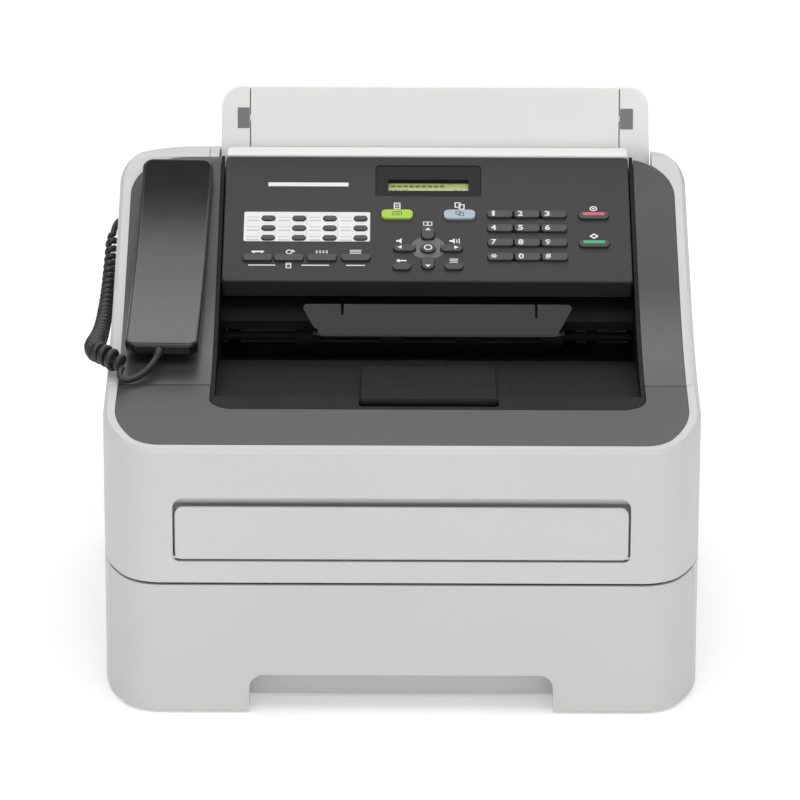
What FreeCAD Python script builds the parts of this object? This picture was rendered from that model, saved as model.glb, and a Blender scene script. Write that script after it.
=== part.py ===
import FreeCAD, Part
import math
import os

from FreeCAD import Vector as V

os.makedirs("parts", exist_ok=True)

# ---------------------------------------------------------------- driving dimensions (mm)
WIDTH = 372.0              # across the side covers
DEPTH = 360.0              # front face to rear face
R_FRONT = 28.0             # plan radius of the front corners next to the front face
R_SIDE, A_SIDE = 96.0, 30.0  # easing radius from the side wall into the corner, and its sweep
R_REAR = 54.0              # plan radius of the rear corners
WALL = 3.0                 # cover wall
RIM = 7.4                  # width of the pale rim round the dark top
RIM_DEEP = 9.0             # depth of the thickened rim
BEVEL = 2.5                # 45 degree bevel along the rim
Z_BODY = 2.0               # underside of the body above the floor
SEAM_TRAY = 85.6           # top of the paper tray front
SEAM_COVER = 87.4          # bottom of the front cover
Y_NOTCH = -82.4            # split between front cover and side covers

# side profile of the top: front line, concave arc, straight slope, rounded rear edge
PY1, PZ1, PA1 = -100.0, 181.0, 3.0
PA0 = 4.5
PY2, PA2 = 25.0, 22.0
PY3 = 145.0
PR_REAR, PA4 = 30.0, -6.0

# print bin opening (the dark well) and scanner head
WX0, WX1 = -119.8, 151.8   # outer faces of the well
WT = 2.2                   # well wall
WELL_FRONT = -118.0
WELL_LIP = -98.6            # back edge of the level lip in front of the bin
R_WELL = 15.0

# control panel, in its own plane: a = x, b = up the slope, n = out of the panel
CB_Y, CB_Z = 33.0, 211.9
CA0, CA1 = -116.8, 148.8
CLEN = 126.0
CTHK = 13.0
HINGE_B, HINGE_N = 9.0, -9.0

# front cover hinge and manual feed door hinge
FC_Y, FC_Z = -171.0, 100.0
MD_Y, MD_Z = -178.3, 103.9

# paper output support flap and document output support
OF_Y, OF_Z = -100.6, 177.0
DF_Y, DF_Z = 16.0, 181.1

# document support (leans back)
DS_Y, DS_Z, DS_LEAN = 163.5, 247.0, 12.0

# handset
HX, HY = -150.0, 40.0
HS_ROT = -1.4
HS_Y0, HS_Y1 = -57.0, 134.0
HS_HALF = 23.25
HS_ARC = ((-70.0, 198.0), (39.5, 223.8), (150.0, 273.0))

CORD_D = 3.6
COIL_D = 11.0


# ---------------------------------------------------------------- helpers
def box(x0, x1, y0, y1, z0, z1):
    return Part.makeBox(x1 - x0, y1 - y0, z1 - z0, V(x0, y0, z0))


def cylx(x0, x1, y, z, r):
    return Part.makeCylinder(r, x1 - x0, V(x0, y, z), V(1, 0, 0))


def prism_yz(points, x0, x1):
    pts = [V(x0, y, z) for y, z in points]
    return Part.Face(Part.makePolygon(pts + [pts[0]])).extrude(V(x1 - x0, 0, 0))


def prism_xz(points, y0, y1):
    pts = [V(x, y0, z) for x, z in points]
    return Part.Face(Part.makePolygon(pts + [pts[0]])).extrude(V(0, y1 - y0, 0))


def fuse(*shapes):
    out = shapes[0].multiFuse(list(shapes[1:])) if len(shapes) > 1 else shapes[0]
    return out.removeSplitter()


def rrect(x0, x1, y0, y1, rf, rr, z0, z1):
    """Rounded rectangle in plan (front radius rf, rear radius rr), extruded."""
    def corner(cx, cy, r, a0):
        pts = [V(cx + r * math.cos(math.radians(a0 + k)), cy + r * math.sin(math.radians(a0 + k)), z0) for k in (0, 45, 90)]
        return pts

    c = [
        corner(x1 - rf, y0 + rf, rf, 270),
        corner(x1 - rr, y1 - rr, rr, 0),
        corner(x0 + rr, y1 - rr, rr, 90),
        corner(x0 + rf, y0 + rf, rf, 180),
    ]
    edges = []
    for k in range(4):
        a = c[k]
        edges.append(Part.Arc(*a).toShape())
        n = c[(k + 1) % 4]
        if (a[2] - n[0]).Length > 1e-6:
            edges.append(Part.LineSegment(a[2], n[0]).toShape())
    return Part.Face(Part.Wire(edges)).extrude(V(0, 0, z1 - z0))


def body_plan(off, y1, rr, z0, z1):
    """Plan of the body inset by off: eased front corners, rear edge at y1 with radius rr."""
    h, yf = WIDTH / 2 - off, -DEPTH / 2 + off
    r1, r2 = R_SIDE - off, R_FRONT - off
    sa, ca = math.sin(math.radians(A_SIDE)), math.cos(math.radians(A_SIDE))
    ys = -DEPTH / 2 + R_FRONT + (R_SIDE - R_FRONT) * sa
    c1x = WIDTH / 2 - R_SIDE
    c2x, c2y = c1x + (R_SIDE - R_FRONT) * ca, ys - (R_SIDE - R_FRONT) * sa

    def at(cx, cy, r, a, s):
        return V(s * (cx + r * math.cos(math.radians(a))), cy - r * math.sin(math.radians(a)), z0)

    k = math.sqrt(0.5)
    e = [
        Part.LineSegment(V(-c2x, yf, z0), V(c2x, yf, z0)).toShape(),
        Part.Arc(V(c2x, yf, z0), at(c2x, c2y, r2, 45 + A_SIDE / 2, 1), at(c2x, c2y, r2, A_SIDE, 1)).toShape(),
        Part.Arc(at(c1x, ys, r1, A_SIDE, 1), at(c1x, ys, r1, A_SIDE / 2, 1), V(h, ys, z0)).toShape(),
        Part.LineSegment(V(h, ys, z0), V(h, y1 - rr, z0)).toShape(),
        Part.Arc(V(h, y1 - rr, z0), V(h - rr + rr * k, y1 - rr + rr * k, z0), V(h - rr, y1, z0)).toShape(),
        Part.LineSegment(V(h - rr, y1, z0), V(-h + rr, y1, z0)).toShape(),
        Part.Arc(V(-h + rr, y1, z0), V(-h + rr - rr * k, y1 - rr + rr * k, z0), V(-h, y1 - rr, z0)).toShape(),
        Part.LineSegment(V(-h, y1 - rr, z0), V(-h, ys, z0)).toShape(),
        Part.Arc(V(-h, ys, z0), at(c1x, ys, r1, A_SIDE / 2, -1), at(c1x, ys, r1, A_SIDE, -1)).toShape(),
        Part.Arc(at(c2x, c2y, r2, A_SIDE, -1), at(c2x, c2y, r2, 45 + A_SIDE / 2, -1), V(-c2x, yf, z0)).toShape(),
    ]
    return Part.Face(Part.Wire(e)).extrude(V(0, 0, z1 - z0))


def rrect_xz(x0, x1, z0, z1, rb, rt, y0, y1):
    """Rounded rectangle seen from the front (bottom radius rb, top radius rt), extruded along y."""
    out = rrect(x0, x1, z0, z1, rb, rt, 0, y1 - y0)
    out.rotate(V(0, 0, 0), V(1, 0, 0), 90)
    out.translate(V(0, y1, 0))
    return out


def outline(off, z0, z1):
    return body_plan(off, DEPTH / 2 - off, R_REAR - off, z0, z1)


def arc_pts(y, z, a0, a1, r, sign):
    """Start, middle and end of an arc whose slope runs from a0 to a1 (degrees)."""
    out = []
    for a in (a0, 0.5 * (a0 + a1), a1):
        s0, s1 = math.radians(a0), math.radians(a)
        out.append((y + sign * r * (math.sin(s1) - math.sin(s0)), z + sign * r * (math.cos(s0) - math.cos(s1))))
    return out


R_MID = (PY2 - PY1) / (math.sin(math.radians(PA2)) - math.sin(math.radians(PA1)))
ARC_B = arc_pts(PY1, PZ1, PA1, PA2, R_MID, 1)
PZ2 = ARC_B[2][1]
PZ3 = PZ2 + (PY3 - PY2) * math.tan(math.radians(PA2))
ARC_D = arc_pts(PY3, PZ3, PA2, PA4, PR_REAR, -1)


def under(dz, low=-30.0):
    """Everything below the top profile moved by dz."""
    x = -260.0
    y0, y1 = -215.0, 215.0
    z0 = PZ1 + (y0 - PY1) * math.tan(math.radians(PA0))
    yd, zd = ARC_D[2]
    z1 = zd + (y1 - yd) * math.tan(math.radians(PA4))

    def q(p):
        return V(x, p[0], p[1] + dz)

    e = [
        Part.LineSegment(q((y0, z0)), q(ARC_B[0])).toShape(),
        Part.Arc(q(ARC_B[0]), q(ARC_B[1]), q(ARC_B[2])).toShape(),
        Part.LineSegment(q(ARC_B[2]), q(ARC_D[0])).toShape(),
        Part.Arc(q(ARC_D[0]), q(ARC_D[1]), q(ARC_D[2])).toShape(),
        Part.LineSegment(q(ARC_D[2]), q((y1, z1))).toShape(),
        Part.LineSegment(q((y1, z1)), V(x, y1, low)).toShape(),
        Part.LineSegment(V(x, y1, low), V(x, y0, low)).toShape(),
        Part.LineSegment(V(x, y0, low), q((y0, z0))).toShape(),
    ]
    return Part.Face(Part.Wire(e)).extrude(V(520, 0, 0))


def top_z(y):
    if y <= PY1:
        return PZ1 + (y - PY1) * math.tan(math.radians(PA0))
    if y <= PY2:
        s = math.sin(math.radians(PA1)) + (y - PY1) / R_MID
        return PZ1 + R_MID * (math.cos(math.radians(PA1)) - math.sqrt(1 - s * s))
    return PZ2 + (y - PY2) * math.tan(math.radians(PA2))


def bn(b, n):
    s, c = math.sin(math.radians(PA2)), math.cos(math.radians(PA2))
    return CB_Y + b * c - n * s, CB_Z + b * s + n * c


def on_panel(shape):
    """Move a shape made with x = a, y = b, z = n onto the panel plane."""
    out = shape.copy()
    out.rotate(V(0, 0, 0), V(1, 0, 0), PA2)
    out.translate(V(0, CB_Y, CB_Z))
    return out


def smooth(shape, r, pick):
    edges = [e for e in shape.Edges if pick(e)]
    if not edges:
        return shape
    try:
        out = shape.makeFillet(r, edges)
        if out.isValid() and out.Volume > 0.5 * shape.Volume:
            return out
    except Exception:
        pass
    print("fillet left out", r, len(edges))
    return shape


def along(e, d, tol=1e-3):
    if not isinstance(e.Curve, (Part.Line, Part.LineSegment)):
        return False
    a = e.Vertexes[0].Point
    b = e.Vertexes[-1].Point
    t = b - a
    if t.Length < 1e-6:
        return False
    t.normalize()
    return abs(abs(t.dot(d)) - 1) < tol


PARTS = {}


def put(name, shape):
    if hasattr(shape, "removeSplitter"):
        shape = shape.removeSplitter()
    solids = shape.Solids
    if len(solids) == 1:
        shape = solids[0]
    else:
        shape = Part.makeCompound(solids)
    if not shape.isValid():
        print("NOT VALID", name)
    PARTS[name] = shape


# ---------------------------------------------------------------- outer covers
master = outline(0, Z_BODY, 330).common(under(0)).removeSplitter()
rim_edges = []
for e in master.Edges:
    p = e.valueAt(0.5 * (e.FirstParameter + e.LastParameter))
    on_wall = abs(abs(p.x) - WIDTH / 2) < 0.01 or abs(abs(p.y) - DEPTH / 2) < 0.01
    corner = abs(p.x) > WIDTH / 2 - R_REAR and abs(p.y) > DEPTH / 2 - R_REAR
    vertical = along(e, V(0, 0, 1))
    across = along(e, V(1, 0, 0)) and abs(abs(p.y) - DEPTH / 2) > 0.01
    if p.z > 150 and not vertical and not across and (on_wall or corner):
        rim_edges.append(e)
try:
    bevelled = master.makeChamfer(BEVEL, rim_edges)
    if not bevelled.isValid() or bevelled.Volume < 0.9 * master.Volume:
        raise ValueError("bevel")
except Exception as err:
    print("bevel failed", err)
    bevelled = master


def inlay(off, z0=100.0, z1=330.0):
    return body_plan(RIM + off, 150.0 - off, 37.0 - off, z0, z1)


cover_void = outline(WALL, -10, 330).common(under(-RIM_DEEP))
deck_void = outline(RIM + 1.0, 100, 330).common(under(-3.4)).common(box(-200, 200, 153.5, 200, 0, 330))
white = bevelled.cut(cover_void).cut(inlay(0)).cut(deck_void)

side_region = [(-145.6, -10), (-145.6, SEAM_COVER - 0.9), (Y_NOTCH + 0.4, SEAM_COVER - 0.9), (Y_NOTCH + 0.4, 330), (220, 330), (220, -10)]
slot_cut = box(-121.6, 164.6, 140, 171.6, 225, 330)

left = white.common(prism_yz(side_region, -220, -128.0))
right = white.common(prism_yz(side_region, 128.0, 220)).cut(slot_cut)

# recess for the handset cord jack on the left cover
JY0, JY1, JZ0, JZ1 = 105.0, 140.0, 214.0, 231.0
jack_outer = box(-184.0, -174.0, JY0 - 2.2, JY1 + 2.2, JZ0 - 2.2, JZ1 + 2.2)
jack_inner = box(-190.0, -176.2, JY0, JY1, JZ0, JZ1)
left = fuse(left, jack_outer.common(outline(0.3, 100, 330))).cut(jack_inner)

# chamfer at the front end of each side cover's rim
ZN = top_z(Y_NOTCH)
rim_end = prism_yz([(Y_NOTCH - 1.0, ZN - 2.2), (Y_NOTCH + 0.4, ZN - 2.2), (Y_NOTCH + 3.6, ZN + 2.0), (Y_NOTCH - 1.0, ZN + 2.0)], -220, 220)
left = left.cut(rim_end)
right = right.cut(rim_end)

# ventilation slots low on both sides
for k in range(9):
    y = 40.0 + 8.0 * k
    vent = box(-190, -170, y, y + 3.4, 112, 142)
    left = left.cut(vent)
    vent = box(170, 190, y, y + 3.4, 112, 142)
    right = right.cut(vent)
put("left_side_cover", left)
put("right_side_cover", right)

# rear panel with the opening for the rear cover, the line sockets and the mains inlet
rear = white.common(box(-127.6, 127.6, 150.2, 220, -10, 330)).cut(slot_cut)
RC_X, RC_Z0, RC_Z1 = 112.0, 92.0, 186.0
rear = rear.cut(box(-RC_X - 0.8, RC_X + 0.8, 170, 190, RC_Z0 - 0.8, RC_Z1 + 0.8))
rear = fuse(rear, box(-RC_X - 6, -RC_X - 0.8, 172.0, 178, RC_Z0 - 0.8, RC_Z0 + 9), box(RC_X + 0.8, RC_X + 6, 172.0, 178, RC_Z0 - 0.8, RC_Z0 + 9))
SOCKETS = [(-110.0, -98.0, 30.0, 42.0, 12.0), (-90.0, -78.0, 30.0, 42.0, 12.0), (78.0, 105.0, 26.0, 46.0, 14.0)]
for x0, x1, z0, z1, dp in SOCKETS:
    rear = fuse(rear, box(x0 - 2, x1 + 2, 178.5 - dp, 178.5, z0 - 2, z1 + 2)).cut(box(x0, x1, 180 - dp, 190, z0, z1))
put("rear_panel", rear)

rc = box(-RC_X, RC_X, 176.6, 179.6, RC_Z0 + 1.7, RC_Z1).cut(box(-RC_X, RC_X, 176, 190, RC_Z0, RC_Z0 + 3.2))
rc = fuse(rc, cylx(-RC_X, RC_X, 178.1, RC_Z0 + 3.2, 1.5))
rc = rc.cut(box(-16, 16, 178.4, 185, RC_Z1 - 9, RC_Z1 - 2.5))
rc = fuse(rc, cylx(-RC_X - 3.6, RC_X + 3.6, 178.1, RC_Z0 + 3.2, 1.0))
put("back_cover", rc)
rear = PARTS["rear_panel"]
PARTS["rear_panel"] = rear.cut(cylx(-RC_X - 4.5, RC_X + 4.5, 178.1, RC_Z0 + 3.2, 1.4))

# ---------------------------------------------------------------- front cover
fc = white.common(box(-220, 220, -220, Y_NOTCH - 0.4, SEAM_COVER, 330))
MX, MZ0, MZ1 = 141.0, 101.2, 143.4
pocket = box(-MX - 2.5, MX + 2.5, -178.0, -165.5, MZ0 - 2.5, MZ1 + 2.5)
lug_l = fuse(box(-145.6, -142.0, -177.5, FC_Y, FC_Z - 3.8, FC_Z + 3.8), cylx(-145.6, -142.0, FC_Y, FC_Z, 3.8))
lug_r = lug_l.copy()
lug_r.translate(V(145.6 + 142.0, 0, 0))
fc = fuse(fc, pocket, lug_l, lug_r)
scoop = prism_yz([(-179.6, MZ1 + 1), (-173.6, 137.4), (-160.0, 137.4), (-160.0, MZ1 + 1)], -MX - 5, MX + 5)
fc = fc.cut(rrect_xz(-MX, MX, MZ0, MZ1, 4.0, 7.0, -190, -168.0).cut(scoop))
fc = fc.cut(box(-112, 112, -170, -160, 116, 124))
fc = fc.cut(cylx(-150, -142.6, FC_Y, FC_Z, 2.2)).cut(cylx(142.6, 150, FC_Y, FC_Z, 2.2))
fc = fc.cut(cylx(-143.0, 143.0, MD_Y, MD_Z, 1.4))
put("front_cover", fc)

well_plan = rrect(WX0 - 0.5, WX1 + 0.5, WELL_FRONT - 0.5, 160, R_WELL + 0.5, 1.0, 100, 330)
sheet = under(-0.4).cut(under(-3.4))
ftp = inlay(0.0).common(sheet).common(box(-220, 220, -220, Y_NOTCH - 0.4, 0, 330)).cut(well_plan)
put("front_top_panel", ftp)

md = box(-139.6, 139.6, MD_Y - 1.5, MD_Y + 1.5, MD_Z, 137.0)
md = smooth(md, 1.2, lambda e: along(e, V(1, 0, 0)) and e.CenterOfMass.z > 130)
md = fuse(md, cylx(-139.6, 139.6, MD_Y, MD_Z, 1.5))
md = md.common(rrect_xz(-139.6, 139.6, MD_Z - 1.5, 137.0, 5.0, 5.0, MD_Y - 3, MD_Y + 3))
md = fuse(md, cylx(-142.6, 142.6, MD_Y, MD_Z, 1.0))
put("manual_feed_door", md)

# ---------------------------------------------------------------- dark top covers
def arc_under(dz, x0=-200.0, x1=-90.0, low=120.0):
    (ya, za), (ym, zm), (yb, zb) = HS_ARC
    a, m, b = V(x0, ya, za + dz), V(x0, ym, zm + dz), V(x0, yb, zb + dz)
    e = [
        Part.Arc(a, m, b).toShape(),
        Part.LineSegment(b, V(x0, yb, low)).toShape(),
        Part.LineSegment(V(x0, yb, low), V(x0, ya, low)).toShape(),
        Part.LineSegment(V(x0, ya, low), a).toShape(),
    ]
    return Part.Face(Part.Wire(e)).extrude(V(x1 - x0, 0, 0))


def turn(shape):
    out = shape.copy()
    out.rotate(V(HX, HY, 0), V(0, 0, 1), HS_ROT)
    return out


TR_H, TR_Y0, TR_Y1 = 21.0, -42.6, 131.6
trough_in = turn(rrect(HX - TR_H, HX + TR_H, TR_Y0, TR_Y1, 6.0, 6.0, 120, 330).cut(arc_under(-25.5)))
trough_out = turn(rrect(HX - TR_H - 2, HX + TR_H + 2, TR_Y0 - 2, TR_Y1 + 2, 8.0, 8.0, 120, 330).cut(arc_under(-27.5)))
tcl = inlay(0.0).common(sheet).common(box(-220, WX0 - 0.4, Y_NOTCH + 0.4, 220, 0, 330))
tcl = fuse(tcl, trough_out.common(under(-1.0)).common(inlay(0.3))).cut(trough_in)
put("top_cover_left", tcl)
tcr = inlay(0.0).common(sheet).common(box(WX1 + 0.4, 220, Y_NOTCH + 0.4, 220, 0, 330))
put("top_cover_right", tcr)

# ---------------------------------------------------------------- print bin
FLX0, FLX1 = -26.0, 59.4            # output support flap across
floor_top = [(WELL_FRONT, top_z(WELL_FRONT) - 0.6), (WELL_LIP, top_z(WELL_LIP) - 0.6), (WELL_LIP + 1.2, 172.4), (0.0, 169.2), (62.0, 146.5)]
floor_low = [(62.0, 143.9), (-0.6, 166.6), (-96.0, 169.6), (WELL_FRONT, 170.0)]
plan = rrect(WX0, WX1, WELL_FRONT, 152.0, R_WELL, 1.0, 100, 330)
plan_in = rrect(WX0 + WT, WX1 - WT, WELL_FRONT - 40, 190.0, R_WELL - WT, 1.0, 100, 330)
floor = prism_yz(floor_top + floor_low, WX0, WX1).common(plan)
walls = plan.cut(plan_in).common(under(-0.6)).common(
    prism_yz([(WELL_FRONT, 170.0), (-96, 169.6), (-0.6, 166.6), (62, 143.9), (152, 143.9), (152, 330), (WELL_FRONT, 330)], -220, 220))
# pocket in the lip for the flap's barrel, and a finger recess behind the flap
pocket_in = prism_yz([(-113.8, 190.0), (-90.0, 190.0), (-90.0, 172.9), (-113.8, 172.9)], FLX0 - 1.0, FLX1 + 1.0)
tab_in = prism_yz([(-28.0, 190.0), (6.0, 190.0), (6.0, 169.0), (-2.0, 166.4), (-28.0, 166.0)], 4.5, 28.5)
tab_out = prism_yz([(-31.0, 168.5), (9.0, 166.5), (9.0, 163.6), (-31.0, 163.6)], 2.5, 30.5)
well = fuse(floor, walls, tab_out).cut(pocket_in).cut(tab_in)
for x0, x1 in ((FLX0 - 9.6, FLX0 - 0.6), (FLX1 + 0.6, FLX1 + 9.6)):
    well = well.cut(box(x0, x1, -72.0, -46.0, 170.6, 180.0))
HGY, HGZ = bn(HINGE_B, HINGE_N)
well = well.cut(cylx(-130, 170, HGY, HGZ, 2.3))
flap_bore = cylx(FLX0 - 2.6, FLX1 + 2.6, OF_Y, OF_Z, 1.6)
knuckle_l = cylx(FLX0 - 3.0, FLX0 - 1.0, OF_Y, OF_Z, 3.2)
knuckle_r = cylx(FLX1 + 1.0, FLX1 + 3.0, OF_Y, OF_Z, 3.2)
well = fuse(well, knuckle_l, knuckle_r, box(FLX0 - 3, FLX0 - 1, OF_Y - 3, OF_Y + 3, 171.0, OF_Z), box(FLX1 + 1, FLX1 + 3, OF_Y - 3, OF_Y + 3, 171.0, OF_Z)).cut(flap_bore)
put("output_well", well)

of = prism_yz([(OF_Y, OF_Z + 1.4), (-22.0, 173.3), (-22.0, 170.8), (OF_Y, OF_Z - 2.4)], FLX0, FLX1)
of = smooth(of, 1.0, lambda e: along(e, V(1, 0, 0)) and e.CenterOfMass.y > -24 and e.CenterOfMass.z > 172)
of = fuse(of, cylx(FLX0, FLX1, OF_Y, OF_Z, 3.4), cylx(FLX0 - 2.2, FLX1 + 2.2, OF_Y, OF_Z, 1.3))
put("output_flap", of)

# ---------------------------------------------------------------- scanner (document feeder) lower frame
LX0, LX1 = WX0 + WT, WX1 - WT
adf_top = [(38.0, 176.8), (38.0, 182.7), bn(16, -20), bn(40, -17.6), (151.0, bn(120, -17.6)[1])]
adf_low = [(151.0, 233.5), (79.0, 205.0), (58.0, 194.0), (44.0, 176.8)]
adf = prism_yz(adf_top + adf_low, LX0, LX1)
FRY, FRZ = bn(62, -20.2)
cheek = prism_yz([(FRY - 9, FRZ - 9), (FRY + 9, FRZ - 9), (FRY + 9, FRZ + 4), (FRY - 9, FRZ)], LX0, LX0 + 3)
cheek_r = cheek.copy()
cheek_r.translate(V(LX1 - LX0 - 3, 0, 0))
adf = fuse(adf, cheek, cheek_r)
ROLLS = [(-66.0, -40.0), (3.0, 29.0), (72.0, 98.0)]
for x0, x1 in ROLLS:
    adf = adf.cut(on_panel(box(x0 - 1.5, x1 + 1.5, 52.5, 71.5, -40, 0)))
adf = adf.cut(cylx(LX0 - 1, LX1 + 1, FRY, FRZ, 3.5))
adf = adf.cut(on_panel(box(LX0 + 3.2, LX1 - 3.2, 57.5, 66.5, -28, 0)))
adf = adf.cut(on_panel(box(-97.4, 129.4, 83.6, 104.4, -40, 0)))
adf = adf.cut(on_panel(box(-99.2, 131.2, 85.8, 102.2, -25.5, -22.6)))
arm = prism_yz([(40, 182.5), (40, 177.0), (DF_Y, DF_Z - 2.2), (DF_Y, DF_Z + 2.2)], -57.6, -55.0)
arm = fuse(arm, cylx(-57.6, -55.0, DF_Y, DF_Z, 2.2))
arm_r = arm.copy()
arm_r.translate(V(157.6 + 2.0, 0, 0))
adf = fuse(adf, arm, arm_r).cut(cylx(-60, 106, DF_Y, DF_Z, 1.4))
put("adf_lower_frame", adf)

feed = cylx(LX0 + 0.4, LX1 - 0.4, FRY, FRZ, 3.0)
feed = fuse(feed, *[cylx(x0, x1, FRY, FRZ, 6.4) for x0, x1 in ROLLS])
put("adf_feed_roller", feed)

cis = on_panel(box(-97.0, 129.0, 84.0, 104.0, -27.0, -17.9))
cis = cis.cut(on_panel(box(-92.0, 124.0, 88.0, 100.0, -18.7, -17.0)))
ledge = on_panel(fuse(box(-99.0, -97.0, 86.0, 102.0, -25.5, -22.8), box(129.0, 131.0, 86.0, 102.0, -25.5, -22.8)))
put("image_sensor", fuse(cis, ledge))

dfv = math.atan2(16.1, 12.5)
df = prism_xz([(-53.4, 0.0), (-52.0, -1.5), (99.0, -1.5), (100.4, 0.0), (104.0, 7.0), (109.2, 17.2), (109.2, 18.8), (108.2, 20.0), (106.6, 20.4), (-61.2, 20.4), (-62.8, 20.0), (-63.8, 18.8), (-63.8, 17.2), (-58.6, 7.0)], -1.3, 1.3)
df = df.cut(box(-39.6, -37.8, -5, 5, 13.0, 30)).cut(box(85.6, 87.2, -5, 5, 11.0, 30))
df = df.cut(box(-70, -54.4, -5, 5, -2, 3.6)).cut(box(101.4, 120, -5, 5, -2, 3.6))
df = fuse(df, cylx(-52.0, 99.0, 0, 0, 1.6), cylx(-57.2, -52.0, 0, 0, 1.1), cylx(99.0, 104.2, 0, 0, 1.1))
df.rotate(V(0, 0, 0), V(1, 0, 0), -(90 - math.degrees(dfv)))
df.translate(V(0, DF_Y, DF_Z))
put("document_output_flap", df)

# ---------------------------------------------------------------- control panel
KEY_GAP = 0.35
DIAL_X = [63.6, 81.2, 98.8]
DIAL_B = [66.3, 52.1, 37.6, 23.4]
DIAL_W, DIAL_H = 16.6, 6.8
DIAL_NAMES = ["1", "2", "3", "4", "5", "6", "7", "8", "9", "star", "0", "hash"]


def pill(cx, cb, w, h, r, n0, n1):
    r = min(r, w / 2 - 0.01, h / 2 - 0.01)
    return rrect(cx - w / 2, cx + w / 2, cb - h / 2, cb + h / 2, r, r, n0, n1)


def key(cx, cb, w, h, r, up=1.5, ends=True):
    """Cap with a retaining flange under the panel skin; returns (key, hole)."""
    cap = pill(cx, cb, w, h, r, -4.4, up)
    top = [e for e in cap.Edges if abs(e.CenterOfMass.z - up) < 1e-6]
    try:
        soft = cap.makeFillet(0.45, top)
        if soft.isValid():
            cap = soft
    except Exception:
        pass
    flange = pill(cx, cb, w + 1.4 if ends else w, h + 1.4, r + 0.7, -4.4, -3.0)
    hole = pill(cx, cb, w + 2 * KEY_GAP, h + 2 * KEY_GAP, r + KEY_GAP, -10, 10)
    return fuse(cap, flange), hole


KEYS = {}
for i, nm in enumerate(DIAL_NAMES):
    r, c = divmod(i, 3)
    KEYS["dial_key_" + nm] = [(DIAL_X[c], DIAL_B[r], DIAL_W, DIAL_H, 2.2)]
KEYS["stop_key"] = [(124.9, 65.2, 19.6, 6.8, 2.6)]
KEYS["start_key"] = [(124.7, 36.9, 19.6, 6.8, 2.6)]
KEYS["fax_mode_key"] = [(-3.6, 65.8, 20.6, 9.0, 3.4)]
KEYS["copy_mode_key"] = [(37.2, 65.8, 20.6, 9.0, 3.4)]
KEYS["ok_key"] = [(16.6, 31.9, 9.4, 9.0, 4.2)]
KEYS["arrow_keys"] = [(16.5, 47.0, 8.2, 12.4, 3.6), (16.5, 16.9, 8.2, 11.8, 3.6), (31.9, 31.9, 14.2, 6.4, 3.0), (1.2, 31.9, 14.2, 6.4, 3.0)]
KEYS["clear_key"] = [(-0.4, 13.2, 11.6, 6.0, 2.6)]
KEYS["menu_key"] = [(33.2, 13.6, 11.6, 6.0, 2.6)]
KEYS["function_keys"] = [(-94.0, 22.0, 18.8, 6.2, 1.4), (-73.6, 22.0, 18.8, 6.2, 1.4), (-52.4, 22.1, 18.8, 6.2, 1.4), (-30.4, 22.2, 18.8, 6.2, 2.6)]
KEYS["one_touch_keys"] = [(x, b, 8.2, 4.6, 1.5) for b in (62.0, 52.2, 42.4) for x in (-87.6, -67.5, -47.5, -27.4)]

shell = box(CA0, CA1, 0, CLEN, -CTHK, 0)
shell = smooth(shell, 2.5, lambda e: along(e, V(0, 0, 1)))
shell = smooth(shell, 1.2, lambda e: abs(e.CenterOfMass.z) < 1e-6)
shell = shell.cut(box(CA0 + 2.4, CA1 - 2.4, 2.4, CLEN - 2.4, -CTHK - 1, -2.4))
BZ = (-17.9, 51.7, 85.2, 117.1)
LC = (-9.4, 43.2, 91.8, 102.9)
shell = shell.cut(pill(0.5 * (BZ[0] + BZ[1]), 0.5 * (BZ[2] + BZ[3]), BZ[1] - BZ[0], BZ[3] - BZ[2], 3.0, -10, 10))
holes = []
for nm, caps in KEYS.items():
    made = []
    for cx, cb, w, h, r in caps:
        dial = nm.startswith("dial_key")
        k, hole = key(cx, cb, w, h, r, 1.1 if nm == "one_touch_keys" else 1.5, not dial)
        made.append(k)
        if not dial:
            holes.append(hole)
    put(nm, on_panel(Part.makeCompound(made) if len(made) > 1 else made[0]))
# each row of dial keys shares one opening
for b in DIAL_B:
    holes.append(pill(DIAL_X[1], b, DIAL_X[2] - DIAL_X[0] + DIAL_W + 2 * KEY_GAP, DIAL_H + 2 * KEY_GAP, 2.5, -10, 10))
for hole in holes:
    shell = shell.cut(hole)
pins = fuse(cylx(CA0 - 2.4, CA0 + 3.0, 0, 0, 1.9), cylx(CA1 - 3.0, CA1 + 2.4, 0, 0, 1.9))
pins.translate(V(0, HINGE_B, HINGE_N))
put("control_panel", on_panel(fuse(shell, pins)))

lower = box(CA0 + 2.4, CA1 - 2.4, 2.4, CLEN - 2.4, -CTHK, -CTHK + 2.0)
ribs = [box(x - 1, x + 1, 75.0, CLEN - 2.4, -CTHK + 2.0, -6.5) for x in (-100.0, -60.0, 100.0, 130.0)]
bosses = [box(x - 3, x + 3, 78.0, 84.0, -CTHK + 2.0, -2.4) for x in (-80.0, 118.0)]
put("panel_lower_guide", on_panel(fuse(lower, *ribs, *bosses)))

bar = box(-116.2, 148.9, CLEN, 135.0, -5.0, 1.2)
bar = smooth(bar, 3.5, lambda e: along(e, V(0, 0, 1)) and e.CenterOfMass.y > 130)
bar = smooth(bar, 1.2, lambda e: abs(e.CenterOfMass.z - 1.2) < 1e-6)
put("panel_rear_bar", on_panel(bar))

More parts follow.
